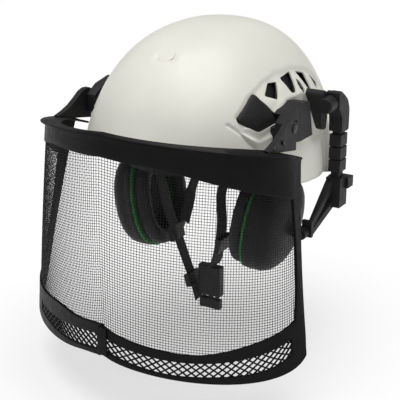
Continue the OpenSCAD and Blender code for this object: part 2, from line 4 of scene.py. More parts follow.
import bmesh
import bpy
import numpy as np
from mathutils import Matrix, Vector


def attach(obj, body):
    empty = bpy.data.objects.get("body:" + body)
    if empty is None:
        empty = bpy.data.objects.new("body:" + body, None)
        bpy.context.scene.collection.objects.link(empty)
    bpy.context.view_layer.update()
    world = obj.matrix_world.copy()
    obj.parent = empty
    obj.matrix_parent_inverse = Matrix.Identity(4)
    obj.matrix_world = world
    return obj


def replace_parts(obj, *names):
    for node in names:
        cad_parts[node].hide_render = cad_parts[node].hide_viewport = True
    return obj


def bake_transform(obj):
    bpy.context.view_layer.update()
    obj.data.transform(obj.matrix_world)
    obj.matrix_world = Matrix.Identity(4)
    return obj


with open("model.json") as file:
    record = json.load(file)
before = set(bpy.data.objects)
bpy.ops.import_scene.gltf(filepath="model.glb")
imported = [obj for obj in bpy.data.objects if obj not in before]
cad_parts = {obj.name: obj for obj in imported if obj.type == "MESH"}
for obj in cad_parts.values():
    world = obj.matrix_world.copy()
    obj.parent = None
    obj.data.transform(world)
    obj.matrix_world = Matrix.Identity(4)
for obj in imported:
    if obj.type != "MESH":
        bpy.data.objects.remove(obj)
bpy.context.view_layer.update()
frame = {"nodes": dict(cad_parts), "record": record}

MM = 0.001
SIGN = {"left": 1, "right": -1}
node_body = {n: b for b, names in frame["record"]["behaviour"]["bodies"].items() for n in names}


# ---------- camera, light and floor ----------

def aim(obj, place, target):
    obj.location = place
    obj.rotation_euler = (Vector(target) - Vector(place)).to_track_quat("-Z", "Y").to_euler()
    bpy.context.scene.collection.objects.link(obj)
    return obj


az, el, reach = math.radians(31.07), math.radians(19.59), 0.98962
look_at = Vector((0.01091, -0.04005, -0.0551))
back = Vector((math.sin(az) * math.cos(el), -math.cos(az) * math.cos(el), math.sin(el)))
lens = bpy.data.cameras.new("camera")
lens.lens, lens.sensor_width = 94.41, 36
bpy.context.scene.camera = aim(bpy.data.objects.new("camera", lens), look_at + back * reach, look_at)


def softbox(name, place, size, watts):
    lamp = bpy.data.lights.new(name, "AREA")
    lamp.shape, lamp.size, lamp.size_y = "RECTANGLE", size[0], size[1]
    lamp.energy = watts
    return aim(bpy.data.objects.new(name, lamp), place, (0, 0, 0))


softbox("front_left", (-0.9, -1.2, 1.0), (1.4, 1.2), 5)
overhead = bpy.data.lights.new("overhead", "SUN")
overhead.energy, overhead.angle = 2.5, math.radians(60)
aim(bpy.data.objects.new("overhead", overhead), (0.14, -0.08, 1.0), (0, 0, 0))

world = bpy.data.worlds.new("studio")
bpy.context.scene.world = world
world.use_nodes = True
sky = world.node_tree.nodes["Background"]
sky.inputs["Color"].default_value = (1, 1, 1, 1)
seen = world.node_tree.nodes.new("ShaderNodeMath")
seen.operation = "MULTIPLY_ADD"
seen.inputs[1].default_value, seen.inputs[2].default_value = 0.70, 0.30
camera_ray = world.node_tree.nodes.new("ShaderNodeLightPath").outputs["Is Camera Ray"]
world.node_tree.links.new(camera_ray, seen.inputs[0])
world.node_tree.links.new(seen.outputs[0], sky.inputs["Strength"])
bpy.context.scene.view_settings.view_transform = "Standard"


# ---------- materials ----------

def material(name, color, rough, **parts):
    """Procedural finish: varied tone and roughness, optional specks, and a bump of grain, cells or weave."""
    m = bpy.data.materials.new(name)
    m.use_nodes = True
    nt = m.node_tree
    bsdf = nt.nodes["Principled BSDF"]
    bsdf.inputs["Base Color"].default_value = (*color, 1)
    bsdf.inputs["Roughness"].default_value = rough
    bsdf.inputs["Metallic"].default_value = parts.get("metal", 0)
    bsdf.inputs["Specular IOR Level"].default_value = parts.get("specular", 0.5)
    bsdf.inputs["Coat Weight"].default_value = parts.get("coat", 0)
    bsdf.inputs["Coat Roughness"].default_value = 0.25
    bsdf.inputs["Sheen Weight"].default_value = parts.get("sheen", 0)
    where = nt.nodes.new("ShaderNodeTexCoord").outputs["Object"]

    def noise(scale, detail=2.0):
        n = nt.nodes.new("ShaderNodeTexNoise")
        n.inputs["Scale"].default_value = scale
        n.inputs["Detail"].default_value = detail
        nt.links.new(where, n.inputs["Vector"])
        return n.outputs["Fac"]

    def ramp(value, low, high):
        r = nt.nodes.new("ShaderNodeMapRange")
        r.inputs["From Min"].default_value, r.inputs["From Max"].default_value = 0.3, 0.7
        r.inputs["To Min"].default_value, r.inputs["To Max"].default_value = low, high
        nt.links.new(value, r.inputs["Value"])
        return r.outputs["Result"]

    tone = nt.nodes.new("ShaderNodeHueSaturation")
    tone.inputs["Color"].default_value = (*color, 1)
    spread = parts.get("spread", 0.12)
    nt.links.new(ramp(noise(parts.get("tone_scale", 45), 4), 1 - spread, 1 + spread), tone.inputs["Value"])
    out = tone.outputs["Color"]
    if parts.get("speck"):
        mixer = nt.nodes.new("ShaderNodeMix")
        mixer.data_type = "RGBA"
        mixer.inputs["B"].default_value = (*parts["speck"], 1)
        nt.links.new(out, mixer.inputs["A"])
        spots = nt.nodes.new("ShaderNodeMapRange")
        spots.inputs["From Min"].default_value, spots.inputs["From Max"].default_value = 0.69, 0.76
        spots.inputs["To Max"].default_value = parts.get("speck_share", 0.3)
        nt.links.new(noise(1500, 1), spots.inputs["Value"])
        nt.links.new(spots.outputs["Result"], mixer.inputs["Factor"])
        out = mixer.outputs["Result"]
    nt.links.new(out, bsdf.inputs["Base Color"])
    nt.links.new(ramp(noise(160, 3), rough - 0.06, rough + 0.06), bsdf.inputs["Roughness"])

    bump = nt.nodes.new("ShaderNodeBump")
    bump.inputs["Strength"].default_value = parts.get("bump", 0.25)
    bump.inputs["Distance"].default_value = parts.get("depth", 0.00015)
    if parts.get("weave"):
        across, along = parts["weave"]
        uv = nt.nodes.new("ShaderNodeUVMap").outputs["UV"]
        split = nt.nodes.new("ShaderNodeSeparateXYZ")
        nt.links.new(uv, split.inputs[0])

        def wave(socket, pitch):
            scaled = nt.nodes.new("ShaderNodeMath")
            scaled.operation = "MULTIPLY_ADD"
            scaled.inputs[1].default_value = 2 * math.pi / pitch
            scaled.inputs[2].default_value = 0.0
            nt.links.new(socket, scaled.inputs[0])
            sine = nt.nodes.new("ShaderNodeMath")
            sine.operation = "SINE"
            nt.links.new(scaled.outputs[0], sine.inputs[0])
            return sine.outputs[0]

        product = nt.nodes.new("ShaderNodeMath")
        product.operation = "MULTIPLY"
        nt.links.new(wave(split.outputs[0], along), product.inputs[0])
        nt.links.new(wave(split.outputs[1], across), product.inputs[1])
        height = nt.nodes.new("ShaderNodeMath")
        height.operation = "MULTIPLY_ADD"
        height.inputs[1].default_value = 0.5
        nt.links.new(product.outputs[0], height.inputs[0])
        nt.links.new(noise(2500, 1), height.inputs[2])
        nt.links.new(height.outputs[0], bump.inputs["Height"])
    elif parts.get("cells"):
        cell = nt.nodes.new("ShaderNodeTexVoronoi")
        cell.inputs["Scale"].default_value = parts["cells"]
        nt.links.new(where, cell.inputs["Vector"])
        nt.links.new(cell.outputs["Distance"], bump.inputs["Height"])
    else:
        nt.links.new(noise(parts.get("grain", 900), 2), bump.inputs["Height"])
    nt.links.new(bump.outputs["Normal"], bsdf.inputs["Normal"])
    return m


FINISH = {
    "shell_plastic": material("shell_satin", (0.735, 0.725, 0.655), 0.42, spread=0.03, tone_scale=18,
                              bump=0.06, grain=700, coat=0.12, speck=(0.5, 0.49, 0.43), speck_share=0.15),
    "shell_inner": material("shell_inside", (0.03, 0.03, 0.028), 0.7, spread=0.05, cells=260, bump=0.3),
    "dark_plastic": material("charcoal_grain", (0.013, 0.013, 0.0135), 0.55, specular=0.25, spread=0.18,
                             bump=0.22, grain=1400, speck=(0.03, 0.03, 0.031)),
    "shutter_plastic": material("shutter_grain", (0.012, 0.012, 0.013), 0.55, specular=0.25, spread=0.15,
                                bump=0.25, grain=1600),
    "band_plastic": material("band_smooth", (0.004, 0.004, 0.0042), 0.52, specular=0.12, spread=0.12,
                             bump=0.10, grain=800),
    "webbing": material("webbing_weave", (0.011, 0.011, 0.012), 0.85, spread=0.15, weave=(0.0012, 0.0018),
                        bump=0.7, depth=0.0003, sheen=0.1, specular=0.25),
    "pad_fabric": material("pad_knit", (0.022, 0.022, 0.024), 0.9, spread=0.2, cells=900, bump=0.6,
                           depth=0.0003, sheen=0.2, specular=0.2),
    "pin_steel": material("coated_steel", (0.02, 0.02, 0.02), 0.45, metal=0.3, spread=0.1,
                          bump=0.08, grain=1800),
    "screen_mesh": material("mesh_wire", (0.007, 0.007, 0.007), 0.5, specular=0.2, spread=0.1,
                            bump=0.05, grain=2000),
    "cup_plastic": material("cup_grain", (0.009, 0.009, 0.0095), 0.5, specular=0.25, spread=0.15,
                            bump=0.2, grain=1300),
    "ring_green": material("ring_satin", (0.010, 0.16, 0.025), 0.45, specular=0.4, spread=0.08, bump=0.05),
    "cushion_skin": material("soft_vinyl", (0.010, 0.010, 0.011), 0.5, specular=0.3, spread=0.15,
                             cells=700, bump=0.25, depth=0.0002),
    "cup_foam": material("open_foam", (0.04, 0.04, 0.045), 0.95, spread=0.3, cells=420, bump=0.9,
                         depth=0.0006),
    "buckle_plastic": material("buckle_smooth", (0.010, 0.010, 0.010), 0.42, specular=0.3, spread=0.12,
                               bump=0.12, grain=1100),
    "floor": material("paper_floor", (0.40, 0.40, 0.40), 0.9, spread=0.004, tone_scale=3,
                      bump=0.0, specular=0.1),
}

bpy.ops.mesh.primitive_plane_add(size=14, location=(0, 2, -0.216))
floor = bpy.context.object
floor.name = "floor"
floor.data.materials.append(FINISH["floor"])
paper = FINISH["floor"].node_tree.nodes["Principled BSDF"]
paper.inputs["Emission Color"].default_value = (1, 1, 1, 1)
paper.inputs["Emission Strength"].default_value = 0.56


# ---------- mesh helpers ----------

def smooth_by_angle(obj, degrees=32):
    obj.data.polygons.foreach_set("use_smooth", [True] * len(obj.data.polygons))
    obj.data.set_sharp_from_angle(angle=math.radians(degrees))


def make(name, verts, faces, slot, angle=32, uvs=None):
    mesh = bpy.data.meshes.new(name)
    points = [tuple(float(c) * MM for c in v) for v in verts]
    mesh.from_pydata(points, [], [tuple(int(i) for i in f) for f in faces])
    mesh.validate()
    obj = bpy.data.objects.new(name, mesh)
    bpy.context.scene.collection.objects.link(obj)
    mesh.materials.append(FINISH[slot])
    if uvs is not None:
        layer = mesh.uv_layers.new(name="UVMap")
        for loop in mesh.loops:
            layer.data[loop.index].uv = uvs[loop.vertex_index]
    bm = bmesh.new()
    bm.from_mesh(mesh)
    bmesh.ops.recalc_face_normals(bm, faces=bm.faces)
    bm.to_mesh(mesh)
    bm.free()
    smooth_by_angle(obj, angle)
    return obj


def tube_faces(rings, count, closed=False):
    """Faces between rings of points, and one over each end unless the rings close on themselves."""
    faces = []
    for i in range(rings if closed else rings - 1):
        j = (i + 1) % rings
        faces += [(i * count + k, i * count + (k + 1) % count, j * count + (k + 1) % count, j * count + k)
                  for k in range(count)]
    if not closed:
        faces += [tuple(range(count)), tuple(range((rings - 1) * count, rings * count))[::-1]]
    return faces


def modify(obj, kind, **values):
    mod = obj.modifiers.new(kind.lower(), kind)
    for key, value in values.items():
        setattr(mod, key, value)
    return mod


def apply_modifiers(obj):
    bpy.context.view_layer.update()
    graph = bpy.context.evaluated_depsgraph_get()
    mesh = bpy.data.meshes.new_from_object(obj.evaluated_get(graph))
    obj.modifiers.clear()
    obj.data = mesh
    return obj


def rounded(obj, width=0.6, segments=2, degrees=35):
    modify(obj, "BEVEL", width=width * MM, segments=segments, limit_method="ANGLE",
           angle_limit=math.radians(degrees), miter_outer="MITER_ARC", harden_normals=True)
    return obj


def place(obj, slot, body, *nodes):
    if body:
        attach(obj, body)
    if nodes:
        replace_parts(obj, *nodes)
    return obj


def refined(node, slot, width=0.6, segments=2, name=None):
    """A CAD node's own shape with its edges rounded off."""
    source = frame["nodes"][node]
    obj = bpy.data.objects.new(name or node + "_finished", source.data.copy())
    bpy.context.scene.collection.objects.link(obj)
    obj.data.materials.clear()
    obj.data.materials.append(FINISH[slot])
    bm = bmesh.new()
    bm.from_mesh(obj.data)
    bmesh.ops.remove_doubles(bm, verts=bm.verts, dist=0.00001)
    bmesh.ops.dissolve_limit(bm, angle_limit=math.radians(1), verts=bm.verts, edges=bm.edges)
    bmesh.ops.recalc_face_normals(bm, faces=bm.faces)
    bm.to_mesh(obj.data)
    bm.free()
    smooth_by_angle(obj, 34)
    rounded(obj, width, segments)
    return place(obj, slot, node_body[node], node)


def ease(v):
    v = np.clip(v, 0, 1)
    return v * v * (3 - 2 * v)


def curve_of(table):
    """Smooth value by position from a few (position, value) pairs."""
    xs, ys = zip(*table)
    fine = np.linspace(xs[0], xs[-1], 200)
    vals = np.interp(fine, xs, ys)
    soft = np.convolve(np.pad(vals, 6, mode="edge"), np.ones(13) / 13, "valid")
    return lambda x: np.interp(x, fine, soft)


# ---------- shell ----------

TOP, MID_Y, WIDE_Z = 109.0, 8.0, -27.0
SHELL_WALL, VENT_WALL = 3.0, 1.4


def rim_z(t):
    s = np.sin(t)
    return np.where(s < 0, -34 + 42 * ease(-s), -34 - 14 * ease(s))


def dome_share(z, inset):
    return np.maximum(1 - (np.maximum(z - WIDE_Z, 0) / (TOP - WIDE_Z - inset)) ** 1.89, 0) ** (1 / 2.49)


def dome_at(t, z, inset=0.0):
    k = dome_share(z, inset)
    spread = (np.abs(np.cos(t)) ** 2.3 + np.abs(np.sin(t)) ** 2.3) ** (-1 / 2.3)
    reach = np.where(np.sin(t) > 0, 124.0, 148.0) - inset
    return (107 - inset) * np.cos(t) * spread * k, MID_Y + reach * np.sin(t) * spread * k


def side_x(y, z, inset=0.0):
    k = dome_share(np.asarray(z, float), inset)
    reach = np.where(np.asarray(y) > MID_Y, 124.0, 148.0) - inset
    v = np.abs(np.asarray(y, float) - MID_Y) / np.maximum(reach * k, 1e-6)
    return (107 - inset) * k * np.maximum(1 - v ** 2.3, 0) ** (1 / 2.3)


def outline_distance(y, z, points, closed=True):
    """Distance from (y, z) to an outline, negative inside it, and the nearest point."""
    p = np.stack([y, z], -1)
    pts = np.array(points, float)
    best = np.full(p.shape[:-1], 1e9)
    near = np.zeros_like(p)
    inside = np.zeros(p.shape[:-1], bool)
    for i in range(len(pts) if closed else len(pts) - 1):
        a, b = pts[i], pts[(i + 1) % len(pts)]
        ab = b - a
        t = np.clip(((p - a) @ ab) / (ab @ ab), 0, 1)
        q = a + t[..., None] * ab
        d = np.linalg.norm(p - q, axis=-1)
        closer = d < best
        best = np.where(closer, d, best)
        near = np.where(closer[..., None], q, near)
        if closed:
            crosses = (a[1] > p[..., 1]) != (b[1] > p[..., 1])
            x_at = a[0] + (p[..., 1] - a[1]) * ab[0] / (ab[1] if ab[1] else 1e-9)
            inside ^= crosses & (p[..., 0] < x_at)
    return np.where(inside, -best, best), near


def round_corners(points, r=3.0, steps=5):
    out = []
    n = len(points)
    pts = [np.array(p, float) for p in points]
    for i in range(n):
        a, b, c = pts[i - 1], pts[i], pts[(i + 1) % n]
        ra = min(r, 0.4 * np.linalg.norm(a - b))
        rc = min(r, 0.4 * np.linalg.norm(c - b))
        p0, p2 = b + (a - b) / np.linalg.norm(a - b) * ra, b + (c - b) / np.linalg.norm(c - b) * rc
        for k in range(steps + 1):
            s = k / steps
            out.append(tuple((1 - s) ** 2 * p0 + 2 * s * (1 - s) * b + s * s * p2))
    return out


PLUG = round_corners([(-84, 41), (-57, 60.5), (-41, 34.5), (-69, 28.5)], 3.5)
VENTS = [round_corners(v, 2.5) for v in (
    [(-47, 56), (-35, 65.5), (-23, 64.5), (-34, 50)], [(-16, 66.5), (6, 69), (-3.5, 51.5), (-12, 51.5)],
    [(14.5, 67.5), (30, 63), (23, 44.5), (18, 50)], [(41, 59.5), (54, 48.5), (46.5, 40.5), (38.5, 48)])]
KNOB = [(8 + 3.2 * math.cos(a), 54.4 + 6.6 * math.sin(a)) for a in np.linspace(0, 2 * math.pi, 25)[:-1]]
HOLES = [PLUG] + VENTS + [KNOB]
ARCH = [(-84, 44), (-66, 58), (-42, 68), (-21, 72), (5, 72), (30, 68), (48, 60), (62, 46), (70, 28), (72, 8)]
LIP = [(-44, 36), (-34, 42), (-24, 46.5), (-4, 47), (14, 46.5), (30, 43), (44, 34), (52, 20), (54, 6)]
SEAM = [(-91, 38), (-84, 30), (-73, 13), (-68, 4)]


def side_relief(y, z):
    """How far the shell's side stands out from the plain dome, in mm."""
    arch, _ = outline_distance(y, z, ARCH + [(72, -60), (-84, -60)])
    lip, _ = outline_distance(y, z, LIP + [(54, -60), (-44, -60), (-44, 20)])
    plug, _ = outline_distance(y, z, PLUG)
    seam, _ = outline_distance(y, z, SEAM, closed=False)
    facet, _ = outline_distance(y, z, [(-91, 38), (-69, 23), (-41, 31), (-41, 10), (-68, 4)])
    raise_by = -1.6 * ease((-arch + 1) / 4) * ease((z + 10) / 40)
    raise_by = raise_by + 2.6 * ease((-arch - 2) / 16) * ease((z - 5) / 30)
    raise_by = raise_by + 1.2 * np.exp(-((lip - 3) / 3.0) ** 2) * (z > 20)
    raise_by = raise_by - 6.5 * ease((-lip + 1.5) / 6)
    around_plug = 1.2 * np.exp(-(np.maximum(plug, 0) / 2.5) ** 2) * (z < 34)
    below = ease(-facet / 4)
    raise_by = raise_by * (1 - below) + below * (1.6 - 4.4 * ease((24 - z) / 14)) + around_plug
    raise_by = raise_by - 1.5 * np.exp(-(seam / 1.35) ** 2)
    low = ease((8 - z) / 12) * ease((y + 52) / 12) * ease((62 - y) / 12)
    ridge = np.abs(((y - 22) / 26.0)) + (z + 20) / 90.0
    raise_by = raise_by + low * (3.6 - 3.4 * np.clip(ridge, 0, 1.4))
    return raise_by


def shell_grid(t_list, low_rings, high_rings, inset):
    t = np.array(t_list)[:, None]
    low = rim_z(t)
    level = 72 - inset * 0.6
    a = np.linspace(0, 1, low_rings)[None, :]
    b = np.sin(np.linspace(0, math.pi / 2, high_rings + 1)[1:])[None, :]
    z = np.concatenate([low + (level - low) * a, level + (TOP - inset - level) * b + 0 * low], 1)
    t = t + 0 * z
    x, y = dome_at(t, z, inset)
    return np.stack([x, y, z], -1), t


def normals_of(points):
    du = np.roll(points, -1, 0) - np.roll(points, 1, 0)
    dv = np.gradient(points, axis=1)
    n = np.cross(du, dv)
    size = np.linalg.norm(n, axis=-1, keepdims=True)
    n = np.where(size > 1e-6, n / np.maximum(size, 1e-6), np.array([0, 0, 1.0]))
    return n


def build_shell():
    side = list(np.radians(np.arange(-62, 42, 0.42)))
    rear = list(np.radians(np.arange(42, 138, 1.3)))
    other = [math.pi - t for t in side][::-1]
    front = list(np.radians(np.arange(242, 298, 0.9)))
    t_list = side + rear + other + front
    pts, t = shell_grid(t_list, 84, 22, 0)
    normal = normals_of(pts)
    y, z = pts[..., 1], pts[..., 2]
    on_side = np.abs(pts[..., 0]) > 25
    cut = np.zeros(y.shape, bool)
    lip = np.zeros(y.shape)
    for hole in HOLES:
        d, near = outline_distance(y, z, hole)
        d = np.where(on_side, d, 99)
        close = np.abs(d) < 1.0
        inner = d < -0.55
        snap = close & ~inner
        y = np.where(snap, near[..., 0], y)
        z = np.where(snap, near[..., 1], z)
        cut |= inner
        lip -= 0.55 * np.exp(-(np.abs(d) / 1.3) ** 2) * (1 if hole is not PLUG else 0.5)
    moved = pts.copy()
    sign = np.where(pts[..., 0] < 0, -1.0, 1.0)
    changed = np.abs(y - pts[..., 1]) + np.abs(z - pts[..., 2]) > 1e-9
    moved[..., 0] = np.where(changed, sign * side_x(y, z), pts[..., 0])
    moved[..., 1], moved[..., 2] = y, z
    relief = np.where(on_side, side_relief(y, z) + lip, 0)
    # crown socket: a crescent lip and a slot on the front middle line
    slot = np.sqrt((pts[..., 0] / 10.0) ** 2 + ((pts[..., 1] + 80) * 0.79 / 3.2) ** 2)
    front_top = (pts[..., 1] < 0) & (pts[..., 2] > 70)
    sunk = -1.6 * ease((1.25 - slot) / 0.5) + 0.5 * np.exp(-((slot - 1.6) / 0.3) ** 2)
    relief = relief + np.where(front_top, sunk, 0)
    rim = ease((z - rim_z(t)) / 2.2)
    moved = moved + normal * (relief - 1.1 * (1 - rim) ** 2)[..., None]
    cols, rows = y.shape
    inner_pts, _ = shell_grid(t_list, 84, 22, SHELL_WALL)
    inner_pts = inner_pts + normal * np.minimum(relief, 0)[..., None]
    inner_pts[..., 1] = np.where(changed, y, inner_pts[..., 1])
    inner_pts[..., 2] = np.where(changed, z, inner_pts[..., 2])
    wall_pts = moved - VENT_WALL * normal
    verts = np.concatenate([moved.reshape(-1, 3), inner_pts.reshape(-1, 3), wall_pts.reshape(-1, 3)])
    half = cols * rows

    def at(i, j, s=0):
        return s * half + (i % cols) * rows + j

    faces, kind = [], []
    gone = np.zeros((cols, rows - 1), bool)
    for i in range(cols):
        n = (i + 1) % cols
        for j in range(rows - 1):
            if cut[i, j] or cut[n, j] or cut[n, j + 1] or cut[i, j + 1]:
                gone[i, j] = True
    for i in range(cols):
        for j in range(rows - 1):
            if gone[i, j]:
                continue
            if j < rows - 2:
                faces.append((at(i, j), at(i + 1, j), at(i + 1, j + 1), at(i, j + 1)))
                faces.append((at(i, j, 1), at(i, j + 1, 1), at(i + 1, j + 1, 1), at(i + 1, j, 1)))
                kind += [0, 1]
            for di, dj, p, q in ((-1, 0, (i, j), (i, j + 1)), (1, 0, (i + 1, j + 1), (i + 1, j)),
                                 (0, -1, (i + 1, j), (i, j)), (0, 1, (i, j + 1), (i + 1, j + 1))):
                jj = j + dj
                open_edge = jj < 0 or (jj < rows - 1 and gone[(i + di) % cols, jj])
                if open_edge:
                    faces.append((at(*p), at(*q), at(*q, 2), at(*p, 2)))
                    faces.append((at(*p, 2), at(*q, 2), at(*q, 1), at(*p, 1)))
                    kind += [0, 0 if jj < 0 else 2]
    # cap at the crown
    faces.append(tuple(at(i, rows - 2) for i in range(cols)))
    faces.append(tuple(at(i, rows - 2, 1) for i in range(cols))[::-1])
    kind += [0, 1]
    mesh = bpy.data.meshes.new("shell_moulding")
    mesh.from_pydata([tuple(v * MM) for v in verts], [], faces)
    mesh.materials.append(FINISH["shell_plastic"])
    mesh.materials.append(FINISH["shell_inner"])
    mesh.materials.append(FINISH["shutter_plastic"])
    mesh.polygons.foreach_set("material_index", kind)
    bm = bmesh.new()
    bm.from_mesh(mesh)
    bmesh.ops.delete(bm, geom=[v for v in bm.verts if not v.link_faces], context="VERTS")
    bmesh.ops.recalc_face_normals(bm, faces=bm.faces)
    bm.to_mesh(mesh)
    bm.free()
    obj = bpy.data.objects.new("shell_moulding", mesh)
    bpy.context.scene.collection.objects.link(obj)
    smooth_by_angle(obj, 40)
    place(obj, "shell_plastic", "helmet", "outer_shell")
    return obj


build_shell()


# ---------- visor ----------

def mix(a, b, s):
    return a + (b - a) * s


def visor_plan(u, w):
    u, w = np.asarray(u, float), np.asarray(w, float)
    turn = np.abs(u) * mix(1.148, 1, w)
    phi = math.pi / 2 * np.minimum(turn, 1)
    straight = 100 * np.maximum(turn - 1, 0)
    power = 2 / mix(1.74, 1.48, w)
    depth = 106 - 7.8 * w
    half = (239 + 50 * (0.9 * w + 0.1 * w * w)) / 2
    x = np.where(u < 0, -1, 1) * half * np.sin(phi) ** power
    y = -72 - depth * np.maximum(np.cos(phi), 0) ** power - (24.2 * w - 13.1 * w * w) + straight
    return np.stack([x, y], -1)


def visor_top(u):
    return 43 - 33.3 * np.abs(u) ** 1.31


def visor_low(u):
    a = np.abs(u)
    return -158 - 44.6 * a - 7.6 * a ** 2 + 39.3 * a ** 3 + 11.4 * a ** 4


def visor_at(u, w, out=0.0):
    u, w = np.broadcast_arrays(np.asarray(u, float), np.asarray(w, float))
    d = visor_plan(np.minimum(u + 0.03, 1), w) - visor_plan(np.maximum(u - 0.03, -1), w)
    n = np.stack([d[..., 1], -d[..., 0]], -1)
    n = n / np.linalg.norm(n, axis=-1, keepdims=True)
    p = visor_plan(u, w) + np.asarray(out)[..., None] * n
    return np.concatenate([p, mix(visor_top(u), visor_low(u), w)[..., None]], -1)


band_low = curve_of([(-1, 0.19), (-0.85, 0.19), (-0.6, 0.10), (-0.35, 0.075), (-0.1, 0.095), (0.3, 0.10),
                     (0.5, 0.14), (0.7, 0.175), (0.85, 0.20), (1, 0.21)])
mesh_low = curve_of([(-1, 0.80), (-0.5, 0.79), (-0.35, 0.785), (-0.2, 0.82), (-0.09, 0.825), (0.02, 0.85),
                     (0.115, 0.865), (0.25, 0.875), (0.4, 0.88), (0.5, 0.86), (0.6, 0.83), (0.7, 0.805),
                     (0.8, 0.785), (1, 0.74)])
window_top = curve_of([(-1, 0.86), (-0.55, 0.865), (-0.3, 0.87), (-0.1, 0.875), (0.0, 0.90), (0.15, 0.912),
                       (0.3, 0.918), (0.45, 0.91), (0.6, 0.887), (0.72, 0.865), (0.85, 0.84), (1, 0.82)])
window_low = curve_of([(-1, 0.90), (-0.52, 0.918), (-0.38, 0.938), (-0.25, 0.948), (-0.1, 0.952),
                       (0.04, 0.966), (0.2, 0.979), (0.33, 0.985), (0.48, 0.972), (0.63, 0.962),
                       (0.77, 0.945), (0.86, 0.92), (1, 0.9)])
visor_edge = curve_of([(-1, 0.97), (-0.5, 0.972), (-0.3, 0.975), (-0.15, 0.972), (-0.05, 0.99), (0.1, 1.0),
                       (0.3, 1.003), (1, 1.0)])


def panel(name, us, w_from, w_to, steps, low_out, high_out, nodes=()):
    """Curved plate on the visor surface, between two lines of w and two distances out from it."""
    us = np.array(us, float)
    s = np.linspace(0, 1, steps + 1)
    w = w_from(us)[:, None] * (1 - s) + w_to(us)[:, None] * s
    u = us[:, None] + 0 * w
    outer, inner = visor_at(u, w, high_out + 0 * u), visor_at(u, w, low_out + 0 * u)
    cols, rows = u.shape
    verts = np.concatenate([outer.reshape(-1, 3), inner.reshape(-1, 3)])
    half = cols * rows

    def at(i, j, k):
        return k * half + i * rows + j

    faces = []
    for i in range(cols - 1):
        for j in range(rows - 1):
            faces.append((at(i, j, 0), at(i + 1, j, 0), at(i + 1, j + 1, 0), at(i, j + 1, 0)))
            faces.append((at(i, j, 1), at(i, j + 1, 1), at(i + 1, j + 1, 1), at(i + 1, j, 1)))
            for di, dj, p, q in ((-1, 0, (i, j), (i, j + 1)), (1, 0, (i + 1, j + 1), (i + 1, j)),
                                 (0, -1, (i + 1, j), (i, j)), (0, 1, (i, j + 1), (i + 1, j + 1))):
                a, b = i + di, j + dj
                if not (0 <= a < cols - 1 and 0 <= b < rows - 1):
                    faces.append((at(*p, 0), at(*q, 0), at(*q, 1), at(*p, 1)))
    obj = rounded(make(name, verts, faces, "band_plastic", angle=30), 0.7, 2, 40)
    return place(obj, "band_plastic", "visor", *nodes)


def spaced(a, b, step=0.012):
    return np.linspace(a, b, max(2, int(abs(b - a) / step) + 1))


def build_band():
    us = np.linspace(-1, 1, 181)
    a = np.abs(us)
    ledge_in = 3.5 + 4 * a ** 2 + 9 * np.sin(math.pi * np.minimum(a ** 2, 0.6))
    over = 0.7 + 4.2 * np.exp(-((a - 0.62) / 0.16) ** 2) + 1.0 * np.exp(-((a - 0.97) / 0.05) ** 2)
    top = visor_top(us)
    p0 = visor_at(us, 0 * us)
    n = visor_at(us, 0 * us, 1 + 0 * us) - p0
    rings = []
    for k in range(len(us)):
        drop = (visor_top(us[k]) - visor_low(us[k])) * band_low(us[k])
        profile = [(-ledge_in[k], -1.9), (-ledge_in[k], -0.5), (-ledge_in[k] + 0.5, 0), (2.4 + over[k], 0),
                   (3.0 + over[k], -0.5), (3.0 + over[k], -1.3), (2.4 + over[k], -1.9), (3.3, -2.3)]
        lean = []
        for s in (0.16, 0.35, 0.55, 0.75, 0.93):
            lean.append((3.0, -drop * s))
        lean += [(2.7, -drop * 0.985), (2.2, -drop), (0.6, -drop), (0.1, -drop * 0.985)]
        lean += [(0.0, -drop * 0.75), (0.0, -drop * 0.35), (0.0, -2.6), (-0.8, -1.9)]
        ring = []
        for out, dz in profile + lean:
            w = -dz / (visor_top(us[k]) - visor_low(us[k]))
            base = visor_at(us[k], max(w, 0))
            ring.append([base[0] + n[k][0] * out, base[1] + n[k][1] * out, top[k] + dz])
        rings.append(ring)
    verts = [v for ring in rings for v in ring]
    obj = make("brow_band_moulding", verts, tube_faces(len(us), len(rings[0])), "band_plastic", angle=38)
    return place(obj, "band_plastic", "visor", "brow_band")


build_band()


